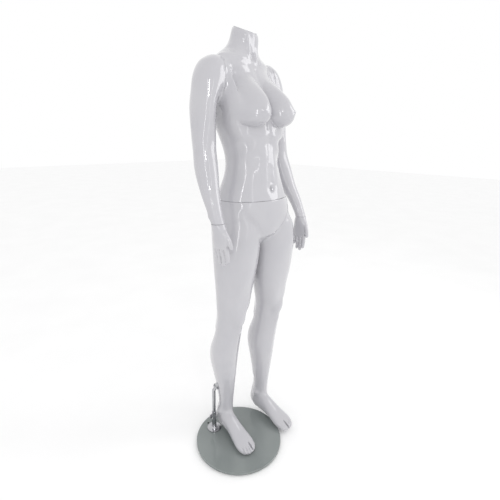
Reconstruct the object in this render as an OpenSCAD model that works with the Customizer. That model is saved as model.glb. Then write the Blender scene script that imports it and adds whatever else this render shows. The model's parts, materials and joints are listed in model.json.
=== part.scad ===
// Headless full body mannequin on a round glass base with a calf rod.
// Frame: +Z up, the figure faces -Y, its right side is -X.
// The origin is the centre of the base, on the surface that it stands on.

/* [Base] */
// Diameter of the glass disc
base_d = 340; // [320:1:380]
// Thickness of the glass disc
glass_t = 10; // [8:0.5:12]
// Height of the rubber bumpers under the glass
bumper_h = 4; // [3:0.5:6]
// Number of bumpers near the rim
bumper_count = 6; // [4:1:8]
// Diameter of the spare fitting hole in the glass
spare_hole_d = 9; // [8:0.5:10]

/* [Calf rod] */
// Diameter of the bent rod
rod_d = 14; // [12:0.5:15]
// Height of the socket tube above the flange
socket_h = 78; // [60:1:90]
// Outer diameter of the flange
flange_d = 56; // [50:1:60]
// Lean of the rod's upper end from upright
rod_lean = 32; // [30:1:34]
// Length of the rod's upper end past the bend
rod_tip = 70; // [66:1:74]

/* [Figure] */
// Sideways place of the figure's midline from the disc centre
figure_x = 82; // [80:0.5:84]
// Fore-and-aft place of the pelvis from the disc centre
figure_y = 47; // [45:0.5:49]
// Wall of the moulded shells
wall = 4; // [3:0.5:5]
// Height of the waist seam above the glass
waist_z = 968; // [960:1:976]

/* [Hidden] */

$fn = 48;
right = -1;
left = 1;
glass_top = bumper_h + glass_t;

// Gap between two moulded parts at a seam
seam = 0.6;
// Gap that keeps two neighbouring pieces apart
clear = 0.3;
plate_t = 3;
far = 400;

white = "#f2f2f4";
chrome = "#c9ccd0";
steel = "#9a9da1";
rubber = "#26282a";
glass = "#8c9694";

// ---------------------------------------------------------------- sections
// A section is [height, centre x, centre y, half width, front depth, back depth, squareness,
// turn about upright]. Heights are above the glass, x is from the figure's midline and y from
// its pelvis. The hips turn a little one way and the shoulders the other.
trunk_sections = [
    [806, 16, -22, 28, 28, 34, 2, -7],
    [822, 18, -22, 78, 50, 66, 2.1, -7],
    [850, 19, -20, 126, 78, 100, 2.2, -7],
    [885, 18, -17, 146, 90, 112, 2.2, -6],
    [925, 15, -13, 149, 95, 108, 2.2, -5],
    [968, 12, -9, 141, 95, 95, 2.2, -3],
    [1005, 10, -7, 127, 92, 82, 2.2, -2],
    [1050, 9, -6, 109, 87, 71, 2.2, -1],
    [1090, 8, -4, 101, 85, 69, 2.2, 0],
    [1130, 5, -2, 104, 85, 75, 2.2, 1],
    [1170, 2, 2, 114, 87, 85, 2.2, 2],
    [1210, -1, 6, 125, 88, 94, 2.3, 3],
    [1250, -3, 11, 132, 86, 100, 2.4, 4],
    [1290, -4, 17, 136, 78, 98, 2.5, 5],
    [1330, -5, 23, 140, 66, 88, 2.6, 5],
    [1362, -6, 28, 136, 54, 72, 2.5, 5],
    [1386, -6, 31, 131, 48, 60, 2.3, 5],
    [1404, -6, 32, 117, 45, 54, 2.1, 5],
    [1422, -6, 32, 88, 43, 48, 2, 4],
    [1444, -6, 30, 58, 43, 44, 2, 3],
    [1475, -5, 24, 45, 43, 43, 2, 2],
    [1510, -4, 14, 45, 44, 44, 2, 0]
];
neck_cut_z = 1490;
neck_cut_tilt = 21;
neck_cut_y = 18;

// Sections of a leg about its own centre line, from the ankle up.
leg_sections = [
    [40, 0, 4, 30, 38, 42, 2.1, 0],
    [70, 0, 4, 32, 36, 40, 2.1, 0],
    [105, 0, 2, 30, 31, 36, 2, 0],
    [150, 0, 2, 31, 32, 36, 2, 0],
    [210, 0, 3, 37, 35, 44, 2, 0],
    [280, -1, 5, 47, 40, 57, 2, 0],
    [340, -2, 6, 54, 43, 65, 2, 0],
    [390, -2, 4, 55, 46, 63, 2, 0],
    [440, -1, 0, 52, 48, 55, 2, 0],
    [490, 0, -3, 51, 51, 48, 2.1, 0],
    [535, 0, -3, 53, 55, 46, 2.1, 0],
    [575, 0, -2, 61, 55, 50, 2.1, 0],
    [630, 0, 0, 71, 61, 59, 2.1, 0],
    [700, 0, 1, 80, 70, 70, 2.1, 0],
    [770, 0, 2, 84, 77, 82, 2.1, 0],
    [830, 0, 3, 82, 82, 94, 2.1, 0],
    [880, 0, 4, 74, 80, 96, 2.1, 0],
    [915, 0, 5, 54, 66, 82, 2.1, 0]
];
// Centre line of each leg as [height, x, y].
leg_line_right = [
    [40, -72, 42], [105, -72, 35], [340, -78, 24], [535, -77, 12],
    [640, -68, 0], [790, -66, -12], [915, -58, -12]
];
leg_line_left = [
    [40, 108, 0], [105, 110, 0], [340, 114, -10], [535, 114, -18],
    [640, 110, -28], [790, 106, -34], [915, 92, -30]
];
// Extra girth of the left leg, which carries less weight and stands bent
left_leg_girth = 1.05;

// Sections of a foot as [place behind the toe tip to heel, inner, outer, top, underside].
foot_sections = [
    [0, 8, 8, 50, 32], [6, 17, 17, 62, 22], [22, 25, 25, 80, 15], [48, 28, 28, 92, 14],
    [78, 29, 29, 86, 15], [108, 32, 32, 68, 13], [140, 37, 38, 50, 6], [170, 40, 42, 37, 2],
    [192, 38, 38, 29, 0.8], [208, 32, 28, 24, 2], [219, 18, 14, 18, 7]
];
foot_length = 219;
heel_right = [-70, 74];
toe_right = [-113, -145];
heel_left = [106, 35];
toe_left = [88, -184];

// Sections of an arm about its own centre line, measured up from the wrist seam.
arm_sections = [
    [0, 0, 0, 23, 19, 20, 2, 0],
    [30, 0, 0, 24, 21, 22, 2, 0],
    [80, 0, 0, 30, 28, 29, 2, 0],
    [130, 0, 0, 35, 34, 35, 2, 0],
    [165, 0, 0, 36, 35, 37, 2, 0],
    [200, 0, 0, 35, 35, 38, 2, 0],
    [240, 0, 0, 37, 37, 39, 2, 0],
    [300, 0, 0, 36, 41, 43, 2, 0],
    [340, 0, 0, 34, 44, 46, 2.1, 0],
    [372, 0, 0, 42, 46, 48, 2.1, 0],
    [400, 0, 0, 52, 48, 50, 2.1, 0],
    [428, 0, 0, 51, 47, 50, 2.1, 0],
    [448, 0, 0, 44, 42, 46, 2.1, 0],
    [463, 0, 0, 32, 32, 37, 2, 0],
    [472, 0, 0, 15, 18, 22, 2, 0]
];
arm_line_right = [
    [0, -212, -66], [50, -212, -46], [115, -201, -14], [190, -194, 6],
    [265, -188, 19], [312, -187, 22], [350, -184, 22], [405, -162, 22], [440, -150, 23], [484, -136, 26]
];
arm_line_left = [
    [0, 250, -66], [60, 240, -42], [130, 223, -8], [215, 205, 18],
    [300, 193, 33], [350, 189, 37], [395, 182, 39], [455, 158, 42], [490, 146, 44], [540, 130, 46]
];
wrist_z_right = 916;
wrist_z_left = 872;

// Joints of each finger from the wrist's middle, for the right hand: x across the palm's
// thickness, y forwards and z down, ended by the finger's half thickness.
fingers = [
    [[8, -24, -72], [12, -28, -98], [15, -27, -120], 8.2],
    [[6, -9, -76], [10, -13, -106], [13, -13, -131], 8.4],
    [[5, 7, -75], [9, 3, -103], [12, 2, -127], 8],
    [[6, 21, -70], [9, 18, -92], [12, 17, -110], 7]
];
// Joints of the thumb and its half thickness
thumb = [[4, -22, -24], [10, -36, -50], [14, -42, -72], 9];

// Sections of the palm, measured up to the wrist seam.
palm_sections = [
    [-80, 6, -2, 9, 26, 24, 2.2, 0],
    [-60, 5, -2, 12, 33, 30, 2.3, 0],
    [-35, 4, -2, 15, 34, 27, 2.3, 0],
    [-14, 2, 0, 20, 25, 23, 2.2, 0],
    [-0.6, 0, 0, 22.8, 19, 20, 2, 0]
];
palm_length = 80;

// Chest forms: sideways place, height, forward reach, width and the heights above and below.
bust_x = 65;
bust_z = 1252;
bust_reach = 54;
bust_w = 52;
bust_up = 78;
bust_down = 46;
nipple_r = 9;
nipple_reach = 5;

// Cut planes of the detachable parts
shoulder_slope = 0.1;
shoulder_top_x = 129.8;
shoulder_top_z = 1394;
armpit_z = 1262;
arm_cut_z = armpit_z - 8;
shoulder_lean = atan(shoulder_slope);
shoulder_z = 1336;
shoulder_y_right = 22;
shoulder_y_left = 38;
hip_x = 4;
hip_z = 826;
hip_tilt = 40;

// Fittings
flange_x = -116 + figure_x;
flange_y = 62 + figure_y;
spare_hole_x = -115 + figure_x;
spare_hole_y = 99 + figure_y;
bumper_d = 20;
bumper_inset = 15;
flange_t = 4;
flange_edge = 1.5;
thumb_r = 3;
thumb_drop = 14;
socket_foot = 5;
gasket_t = 1;
under_plate_t = 2;
socket_r = 9.5;
fit = 0.05;
bend_z = glass_top + 188;
rod_heading = -38;
rod_foot_z = glass_top + gasket_t + flange_t;
screw_r = 2.5;
screw_ring_r = 19;
calf_tube_r = 10;
calf_tube_length = 48;
ferrule_t = 6;
spigot_r = 16;
waist_depth = 46;
socket_wall = 2.5;
spigot_flange = 14;
flange_plate_t = 2;
insert_r = 17;
insert_t = 12;
peg_r = 9;
hip_stud_x = 84;
hip_stud_y = -22;
hip_studs = [35, -15];
hip_travel = 40;
stud_r = 4;
stud_head_r = 8;
keyhole_t = 2.5;
stud_rise = seam + plate_t + keyhole_t + clear;
wrist_peg_r = 5;
wrist_peg_len = 16;
wrist_peg_back = 2;
wrist_gap = 0.2;

// ---------------------------------------------------------------- functions
function slope(rows, i) =
    let(a = max(i - 1, 0), b = min(i + 1, len(rows) - 1))
    (rows[b] - rows[a]) / (rows[b][0] - rows[a][0]);

function span_of(rows, t, i = 0) =
    (i >= len(rows) - 2 || t < rows[i + 1][0]) ? i : span_of(rows, t, i + 1);

// The row of a table at t, on a smooth curve through its rows.
function row_at(rows, t) =
    let(i = span_of(rows, t), h = rows[i + 1][0] - rows[i][0], s = (t - rows[i][0]) / h)
    (2 * s * s * s - 3 * s * s + 1) * rows[i]
    + (s * s * s - 2 * s * s + s) * h * slope(rows, i)
    + (3 * s * s - 2 * s * s * s) * rows[i + 1]
    + (s * s * s - s * s) * h * slope(rows, i + 1);

function steps(low, high, count) = [for (i = [0 : count]) low + (high - low) * i / count];

function power_of(v, e) = sign(v) * pow(abs(v), e);

// One closed section about its own centre, inset by the wall where it is the inner face.
function outline(row, inset, sides) =
    [for (k = [0 : sides - 1])
        let(a = 360 * k / sides, e = 2 / row[6], depth = sin(a) < 0 ? row[4] : row[5])
        [
            (row[3] - inset) * power_of(cos(a), e),
            (depth - inset) * power_of(sin(a), e),
            row[0]
        ]];

// Turns the points of a section by its row's turn and puts them on its centre.
function placed(row, points) =
    [for (p = points)
        [
            row[1] + p[0] * cos(row[7]) - p[1] * sin(row[7]),
            row[2] + p[0] * sin(row[7]) + p[1] * cos(row[7]),
            p[2]
        ]];

function ring(row, inset, sides) = placed(row, outline(row, inset, sides));

function bell(v) = exp(-v);

// A point of the trunk moved out over the chest.
function over_chest(p, side) =
    let(
        dx = p[0] - side * bust_x,
        dz = p[2] - bust_z,
        tall = dz > 0 ? bust_up : bust_down,
        q = pow(dx / bust_w, 2) + pow(dz / tall, 2),
        w = p[1] < 10 ? bell(pow(q, 1.3)) : 0,
        n = p[1] < -30 ? bell((dx * dx + dz * dz) / (nipple_r * nipple_r)) : 0
    )
    [side * 5 * w, -bust_reach * w - nipple_reach * n, -8 * w];

function trunk_ring(z, inset, sides) =
    let(row = row_at(trunk_sections, z))
    placed(row, [for (p = outline(row, inset, sides)) p + over_chest(p, right) + over_chest(p, left)]);

function leg_row(line, z, girth) =
    let(s = row_at(leg_sections, z), c = row_at(line, z))
    [z, s[1] + c[1], s[2] + c[2], s[3] * girth, s[4] * girth, s[5] * girth, s[6], 0];

// A section of an arm: the tables run up from the wrist, and stretch stretches them.
function arm_row(line, wrist_z, stretch, h) =
    let(s = row_at(arm_sections, h / stretch), c = row_at(line, h))
    [wrist_z + h, c[1], c[2], s[3], s[4], s[5], s[6], 0];

// A section across a foot, square to its length.
function foot_ring(t, side, heel, toe, inset, sides) =
    let(
        s = row_at(foot_sections, t),
        f = t / foot_length,
        mid = (s[3] * 2 + s[4] * 3) / 5,
        x = heel[0] + (toe[0] - heel[0]) * f,
        y = heel[1] + (toe[1] - heel[1]) * f
    )
    [for (k = [0 : sides - 1])
        let(
            a = 360 * k / sides,
            half = side * cos(a) > 0 ? s[2] : s[1],
            rise = sin(a) > 0 ? s[3] - mid : mid - s[4]
        )
        [
            x + (half - inset) * power_of(cos(a), 0.85),
            y,
            mid + (rise - inset) * power_of(sin(a), sin(a) > 0 ? 0.95 : 0.6)
        ]];

// ---------------------------------------------------------------- shared shapes
// A closed skin over sections that follow each other.
module skin(rings) {
    sides = len(rings[0]);
    last = len(rings) - 1;
    walls = [for (i = [0 : last - 1]) for (k = [0 : sides - 1])
        let(a = i * sides + k, b = i * sides + (k + 1) % sides)
        each [[a, a + sides, b + sides], [a, b + sides, b]]];
    ends = [[for (k = [0 : sides - 1]) k], [for (k = [sides - 1 : -1 : 0]) last * sides + k]];
    polyhedron(points = [for (r = rings) each r], faces = concat(walls, ends));
}

// Joins what it holds into one moulded skin.
module moulded() {
    resize([0, 0, 0]) children();
}

module at_figure() {
    translate([figure_x, figure_y, glass_top]) children();
}

module trunk(low, high, count, inset, sides) {
    skin([for (z = steps(low, high, count)) trunk_ring(z, inset, sides)]);
}

module leg(line, girth, low, high, count, inset, sides) {
    skin([for (z = steps(low, high, count)) ring(leg_row(line, z, girth), inset, sides)]);
}

module foot(side, heel, toe, inset, count, sides) {
    skin([for (t = steps(inset, foot_length - inset, count))
        foot_ring(t, side, heel, toe, inset, sides)]);
}

module arm(side, low, inset, count, sides) {
    line = side == right ? arm_line_right : arm_line_left;
    base = side == right ? wrist_z_right : wrist_z_left;
    top = line[len(line) - 1][0];
    stretch = top / arm_sections[len(arm_sections) - 1][0];
    skin([for (h = steps(low, top - inset, count)) ring(arm_row(line, base, stretch, h), inset, sides)]);
}

function shoulder_x(z) = shoulder_top_x + shoulder_slope * (shoulder_top_z - z);

// Places what it holds on the shoulder seam, with +Z pointing out of the body.
module at_shoulder(side) {
    y = side == right ? shoulder_y_right : shoulder_y_left;
    translate([side * shoulder_x(shoulder_z), y, shoulder_z])
        rotate([0, side * (90 - shoulder_lean), 0])
            children();
}

// The space outside the shoulder seam, past an offset, above the armpit.
module outside_shoulder(side, offset) {
    intersection() {
        at_shoulder(side) translate([-far / 2, -far / 2, offset]) cube(far);
        translate([-far, -far, armpit_z]) cube([2 * far, 2 * far, far]);
    }
}

// The space inside the shoulder seam, past an offset, above the arm's cut.
module inside_shoulder(side, offset) {
    intersection() {
        at_shoulder(side) translate([-far / 2, -far / 2, -offset - far]) cube(far);
        translate([-far, -far, arm_cut_z]) cube([2 * far, 2 * far, far]);
    }
}

// Places what it holds on the neck cut, with +Z pointing out of the neck.
module at_neck() {
    translate([0, neck_cut_y, neck_cut_z]) rotate([neck_cut_tilt, 0, 0]) children();
}

// The space on the left leg's side of the hip seam, past an offset.
module below_hip(offset) {
    translate([hip_x, 0, hip_z])
        rotate([0, -hip_tilt, 0])
            translate([-far / 2, -far / 2, -far - offset])
                cube([far * 1.5, far, far]);
}

module above_hip(offset) {
    translate([hip_x, 0, hip_z])
        rotate([0, -hip_tilt, 0])
            translate([-far / 2, -far / 2, offset])
                cube([far * 1.5, far, far]);
}

module torso_form(inset, count, sides) {
    intersection() {
        union() {
            trunk(waist_z - 20, 1510, count, inset, sides);
            for (side = [right, left]) {
                intersection() {
                    arm(side, 330, inset, count / 4, sides / 2);
                    translate([-far, -far, armpit_z + inset]) cube([2 * far, 2 * far, far]);
                }
            }
        }
        at_neck() translate([-far, -far, inset - 2 * far]) cube([2 * far, 2 * far, 2 * far]);
    }
}

module lower_form(inset, count, sides) {
    trunk(806 + inset * 2, waist_z + 20, count / 2, inset, sides * 2);
    leg(leg_line_right, 1, 40 + inset, 900, count, inset, sides);
    leg(leg_line_left, left_leg_girth, 780, 900, 6, inset, sides);
    foot(right, heel_right, toe_right, inset, count / 2, sides);
}

module left_leg_form(inset, count, sides) {
    leg(leg_line_left, left_leg_girth, 40 + inset, 905, count, inset, sides);
    foot(left, heel_left, toe_left, inset, count / 2, sides);
    intersection() {
        trunk(806 + inset * 2, waist_z, count / 2, inset, sides * 2);
        translate([hip_x + seam / 2, -far, 0]) cube([far, 2 * far, 5 * far]);
    }
}

// ---------------------------------------------------------------- base
module glass_base() {
    color(glass, 0.8) difference() {
        translate([0, 0, bumper_h]) cylinder(d = base_d, h = glass_t, $fn = 120);
        translate([spare_hole_x, spare_hole_y, 0]) cylinder(d = spare_hole_d, h = far);
        flange_holes(screw_r + 0.5);
    }
}

module flange_holes(r) {
    for (k = [0 : 2]) {
        translate([flange_x, flange_y, 0]) rotate(120 * k) translate([screw_ring_r, 0, 0])
            cylinder(r = r, h = far);
    }
}

module base_bumpers() {
    color(rubber) {
        cylinder(d = bumper_d, h = bumper_h);
        for (k = [0 : bumper_count - 1]) {
            rotate(360 * (k + 0.5) / bumper_count) translate([base_d / 2 - bumper_inset, 0, 0])
                cylinder(d = bumper_d, h = bumper_h);
        }
    }
}

module at_flange() {
    translate([flange_x, flange_y, 0]) children();
}

module flange_gasket() {
    color(rubber) difference() {
        at_flange() translate([0, 0, glass_top]) cylinder(d = flange_d - 2, h = gasket_t);
        flange_holes(screw_r + 0.5);
    }
}

module rod_flange() {
    color(chrome) difference() {
        at_flange() translate([0, 0, glass_top + gasket_t]) {
            cylinder(d = flange_d, h = flange_t - flange_edge);
            translate([0, 0, flange_t - flange_edge])
                cylinder(d1 = flange_d, d2 = flange_d - 2 * socket_foot, h = flange_edge);
        }
        // The screws' holes stop under the flange's top face
        intersection() {
            flange_holes(screw_r);
            translate([-far, -far, 0]) cube([2 * far, 2 * far, rod_foot_z - flange_edge]);
        }
    }
}

module rod_socket() {
    color(chrome) at_flange() difference() {
        translate([0, 0, rod_foot_z]) {
            cylinder(r = socket_r, h = socket_h);
            cylinder(r1 = socket_r + 4, r2 = socket_r, h = socket_foot);
        }
        translate([0, 0, rod_foot_z + 2]) cylinder(r = rod_d / 2 + fit, h = far);
        translate([0, 0, rod_foot_z + socket_h - thumb_drop]) rotate([0, -90, 0])
            cylinder(r = thumb_r + fit, h = far);
    }
}

module flange_screws() {
    color(steel) for (k = [0 : 2]) {
        at_flange() rotate(120 * k) translate([screw_ring_r, 0, 0]) {
            translate([0, 0, bumper_h - gasket_t - under_plate_t]) {
                cylinder(r1 = screw_r + 2, r2 = screw_r, h = under_plate_t);
                cylinder(r = screw_r, h = glass_t + under_plate_t + 3 * gasket_t + 1);
            }
        }
    }
}

module under_washer() {
    color(rubber) difference() {
        at_flange() translate([0, 0, bumper_h - gasket_t]) cylinder(d = flange_d - 2, h = gasket_t);
        flange_holes(screw_r + 0.5);
    }
}

module under_plate() {
    color(steel) difference() {
        at_flange() translate([0, 0, bumper_h - gasket_t - under_plate_t])
            cylinder(d = flange_d - 4, h = under_plate_t);
        at_flange() for (k = [0 : 2]) {
            rotate(120 * k) translate([screw_ring_r, 0, bumper_h - gasket_t - under_plate_t])
                cylinder(r1 = screw_r + 2, r2 = screw_r, h = under_plate_t);
        }
    }
}

module thumb_screw() {
    wing = [18, 4, 11];
    collar_t = 3;
    color(chrome) at_flange() translate([0, 0, rod_foot_z + socket_h - thumb_drop]) rotate([0, -90, 0]) {
        translate([0, 0, rod_d / 2 + clear]) cylinder(r = thumb_r, h = 8);
        translate([0, 0, socket_r + clear]) cylinder(r = thumb_r + 2, h = collar_t);
        translate([-wing[0] / 2, -wing[1] / 2, socket_r + collar_t]) cube(wing);
    }
}

// ---------------------------------------------------------------- calf rod
// Places what it holds at the rod's bend, with +X towards the calf.
module at_bend() {
    translate([flange_x, flange_y, bend_z]) rotate(rod_heading) children();
}

// Places what it holds at the bend, with +Z along the rod's upper end.
module at_tip() {
    at_bend() rotate([0, rod_lean, 0]) children();
}

module calf_rod() {
    color(chrome) {
        at_bend() translate([0, 0, rod_foot_z + 2 - bend_z])
            cylinder(d = rod_d, h = bend_z - rod_foot_z - 2);
        at_bend() sphere(d = rod_d);
        at_tip() cylinder(d = rod_d, h = rod_tip);
    }
}

// Steel tube in the calf that drops over the rod's upper end.
module calf_tube() {
    color(steel) at_tip() difference() {
        translate([0, 0, rod_tip - calf_tube_length]) cylinder(r = calf_tube_r, h = calf_tube_length + 4);
        translate([0, 0, -far + rod_tip]) cylinder(r = rod_d / 2 + fit, h = far);
    }
}

module calf_ferrule() {
    color(chrome) at_tip() translate([0, 0, rod_tip - calf_tube_length - ferrule_t]) difference() {
        cylinder(r = calf_tube_r + 3, h = ferrule_t - clear);
        translate([0, 0, -1]) cylinder(r = rod_d / 2 + 0.5, h = far);
    }
}

// ---------------------------------------------------------------- lower body
module lower_body_shell() {
    color(white) at_figure() moulded() difference() {
        lower_form(0, 36, 24);
        lower_form(wall, 16, 14);
        translate([-far, -far, waist_z - seam / 2]) cube([2 * far, 2 * far, far]);
        intersection() {
            below_hip(-seam / 2);
            translate([hip_x, -far, 0]) cube([far, 2 * far, 5 * far]);
        }
        calf_opening();
    }
}

// The hole in the calf that the tube and ferrule sit in.
module calf_opening() {
    translate([-figure_x, -figure_y, -glass_top]) at_tip()
        translate([0, 0, rod_tip - 75]) cylinder(r = calf_tube_r + 3.5, h = 50, $fn = 24);
}

// A flat plate in the mouth of the trunk, just inside its wall.
module waist_disc(z, hole) {
    translate([0, 0, z]) difference() {
        linear_extrude(plate_t)
            polygon([for (p = ring(row_at(trunk_sections, waist_z), wall + 3, 48)) [p[0], p[1]]]);
        translate([0, 0, -1]) cylinder(r = hole, h = far);
    }
}

module pelvis_waist_plate() {
    color(white) at_figure() waist_disc(waist_z - seam / 2 - plate_t, spigot_r + socket_wall);
}

module waist_socket() {
    color(steel) at_figure() difference() {
        translate([0, 0, waist_z - seam / 2 - plate_t - waist_depth]) {
            cylinder(r = spigot_r + socket_wall, h = waist_depth + plate_t);
            translate([0, 0, waist_depth - flange_plate_t])
                cylinder(r = spigot_r + spigot_flange, h = flange_plate_t);
        }
        translate([0, 0, waist_z - waist_depth]) cylinder(r = spigot_r + fit, h = far);
    }
}

// The inner space of the pelvis or thigh at the hip seam, as a slab of plate thickness.
module hip_slab(offset) {
    moulded() intersection() {
        translate([hip_x, 0, hip_z]) rotate([0, -hip_tilt, 0])
            translate([0, -far / 2, offset]) cube([far, far, plate_t]);
        union() {
            leg(leg_line_left, left_leg_girth, 780, 900, 6, wall + 3, 24);
            trunk(820, waist_z - 20, 9, wall + 3, 32);
        }
        translate([hip_x, -far, 0]) cube([far, 2 * far, 5 * far]);
    }
}

// Places what it holds on the hip seam's middle, with +Z pointing into the pelvis.
module at_hip() {
    translate([hip_stud_x, hip_stud_y, hip_z + (hip_stud_x - hip_x) * tan(hip_tilt)])
        rotate([0, -hip_tilt, 0]) children();
}

// The keyhole slots that the hip studs travel in, open at their front ends.
module keyholes(low, h) {
    for (y = hip_studs) {
        translate([0, y, low]) linear_extrude(h) {
            hull() {
                circle(r = stud_r + clear);
                translate([0, -hip_travel]) circle(r = stud_r + clear);
            }
            translate([0, -hip_travel]) circle(r = stud_head_r + clear);
        }
    }
}

module pelvis_hip_plate() {
    color(white) at_figure() difference() {
        hip_slab(seam / 2);
        at_hip() keyholes(-far / 2, far);
    }
}

module hip_keyhole_plate() {
    color(steel) at_figure() at_hip() difference() {
        translate([-16, -72, seam / 2 + plate_t]) cube([32, 118, keyhole_t]);
        keyholes(0, far);
    }
}

module left_leg_shell() {
    color(white) at_figure() moulded() difference() {
        left_leg_form(0, 36, 24);
        left_leg_form(wall, 16, 14);
        above_hip(-seam / 2);
    }
}

module thigh_plate() {
    color(white) at_figure() difference() {
        hip_slab(-seam / 2 - plate_t);
        at_hip() for (y = hip_studs) {
            translate([0, y, -far / 2]) cylinder(r = stud_r, h = far);
        }
    }
}

module hip_studs() {
    color(steel) at_figure() at_hip() for (y = hip_studs) {
        translate([0, y, 0]) {
            translate([0, 0, -seam / 2 - plate_t - 2]) cylinder(r = stud_head_r, h = 2);
            translate([0, 0, -seam / 2 - plate_t]) cylinder(r = stud_r, h = plate_t + stud_rise);
            translate([0, 0, -seam / 2 + stud_rise]) cylinder(r = stud_head_r, h = 3);
        }
    }
}

// ---------------------------------------------------------------- torso
module torso_shell() {
    color(white) at_figure() moulded() difference() {
        torso_form(0, 52, 44);
        torso_form(wall, 24, 24);
        translate([-far, -far, waist_z + seam / 2 - far]) cube([2 * far, 2 * far, far]);
        for (side = [right, left]) outside_shoulder(side, -seam / 2);
    }
}

module neck_cap() {
    color(white) at_figure() moulded() intersection() {
        at_neck() translate([-far / 2, -far / 2, -plate_t]) cube([far, far, plate_t]);
        trunk(1450, 1530, 8, wall + 0.2, 32);
    }
}

module torso_waist_plate() {
    color(white) at_figure() waist_disc(waist_z + seam / 2, spigot_r);
}

module waist_spigot() {
    color(steel) at_figure() {
        translate([0, 0, waist_z - waist_depth + 2]) cylinder(r = spigot_r, h = waist_depth + plate_t + 3);
        translate([0, 0, waist_z + seam / 2 + plate_t]) cylinder(r = spigot_r + spigot_flange, h = flange_plate_t);
    }
}

module waist_screws() {
    color(steel) at_figure() for (k = [0 : 3]) {
        translate([0, 0, waist_z + seam / 2 + plate_t + flange_plate_t]) rotate(45 + 90 * k)
            translate([spigot_r + 8, 0, 0]) cylinder(r = 3.5, h = 2.5);
    }
}

// ---------------------------------------------------------------- shoulders and arms
// A plate in the mouth of the torso or the arm at the shoulder seam.
module shoulder_slab(side, low, high) {
    moulded() intersection() {
        at_shoulder(side) translate([-far / 2, -far / 2, low]) cube([far, far, high - low]);
        arm(side, 330, wall + 7, 12, 22);
        translate([-far, -far, armpit_z + 8]) cube([2 * far, 2 * far, far]);
    }
}

module torso_shoulder_plate(side) {
    color(white) at_figure() difference() {
        shoulder_slab(side, -seam / 2 - plate_t, -seam / 2);
        at_shoulder(side) cylinder(r = insert_r + 3.2, h = far, center = true);
    }
}

module shoulder_socket(side) {
    color(steel) at_figure() at_shoulder(side) difference() {
        translate([0, 0, -seam / 2 - insert_t - 3]) cylinder(r = insert_r + 3, h = insert_t + 3);
        translate([0, 0, -seam / 2 - insert_t]) cylinder(r = insert_r + fit, h = far);
        cylinder(r = peg_r + 2, h = far, center = true);
    }
}

// Turning disc that holds the arm's keyed peg.
module shoulder_insert(side) {
    color(chrome) at_figure() at_shoulder(side) difference() {
        translate([0, 0, -seam / 2 - insert_t + fit]) cylinder(r = insert_r, h = insert_t - 0.2);
        keyed_peg(peg_r + fit, -far / 2, far);
    }
}

// A round peg with two flats.
module keyed_peg(r, low, h) {
    intersection() {
        translate([0, 0, low]) cylinder(r = r, h = h);
        translate([-r * 0.8, -r, low]) cube([r * 1.6, 2 * r, h]);
    }
}

module arm_shell(side) {
    color(white) at_figure() moulded() difference() {
        arm(side, 0, 0, 30, 22);
        arm(side, -1, wall, 14, 14);
        inside_shoulder(side, -seam / 2);
    }
}

module arm_plate(side) {
    color(white) at_figure() difference() {
        shoulder_slab(side, seam / 2, seam / 2 + plate_t);
        at_shoulder(side) cylinder(r = peg_r, h = far, center = true);
    }
}

module arm_spigot(side) {
    color(steel) at_figure() at_shoulder(side) {
        keyed_peg(peg_r, -seam / 2 - insert_t + 1, insert_t + seam + plate_t);
        translate([0, 0, seam / 2 + plate_t]) cylinder(r = peg_r + 7, h = 2);
    }
}

// Places what it holds on the wrist seam's middle.
module at_wrist(side) {
    line = side == right ? arm_line_right : arm_line_left;
    z = side == right ? wrist_z_right : wrist_z_left;
    translate([line[0][1], line[0][2], z]) children();
}

// The wrist's fittings stand a little behind the seam's middle, clear of the front wall.
module at_wrist_peg(side) {
    at_wrist(side) translate([0, wrist_peg_back, 0]) children();
}

module wrist_disc(hole) {
    difference() {
        linear_extrude(plate_t)
            polygon([for (p = ring(arm_sections[0], wall + 2, 20)) [p[0], p[1]]]);
        translate([0, wrist_peg_back, -1]) cylinder(r = hole, h = far);
    }
}

module wrist_plate(side) {
    color(white) at_figure() at_wrist(side) translate([0, 0, wrist_gap]) wrist_disc(wrist_peg_r + 1.5);
}

module wrist_socket(side) {
    color(steel) at_figure() at_wrist_peg(side) difference() {
        translate([0, 0, wrist_gap]) cylinder(r = wrist_peg_r + 1.5, h = wrist_peg_len + 4);
        translate([0, 0, -1]) cylinder(r = wrist_peg_r + fit, h = wrist_peg_len + 2);
    }
}

module wrist_spigot(side) {
    color(steel) at_figure() at_wrist_peg(side) translate([0, 0, -seam - plate_t])
        cylinder(r = wrist_peg_r, h = wrist_peg_len + plate_t);
}

module hand_plate(side) {
    color(white) at_figure() at_wrist(side) translate([0, 0, -seam - plate_t])
        wrist_disc(wrist_peg_r);
}

module finger(points, r) {
    for (i = [0 : len(points) - 2]) {
        hull() {
            translate(points[i]) sphere(r = r * (1 - 0.1 * i), $fn = 12);
            translate(points[i + 1]) sphere(r = r * (0.9 - 0.1 * i), $fn = 12);
        }
    }
}

module hand(side) {
    color(white) at_figure() at_wrist(side) moulded() mirror([side == left ? 1 : 0, 0, 0]) difference() {
        union() {
            palm();
            for (f = fingers) finger([f[0], f[1], f[2]], f[3]);
            finger([thumb[0], thumb[1], thumb[2]], thumb[3]);
        }
        translate([0, 0, -seam - plate_t]) linear_extrude(far)
            polygon([for (p = ring(arm_sections[0], wall, 20)) [p[0], p[1]]]);
    }
}

module palm() {
    skin([for (z = steps(-palm_length, -seam, 10)) ring(row_at(palm_sections, z), 0, 20)]);
}

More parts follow.
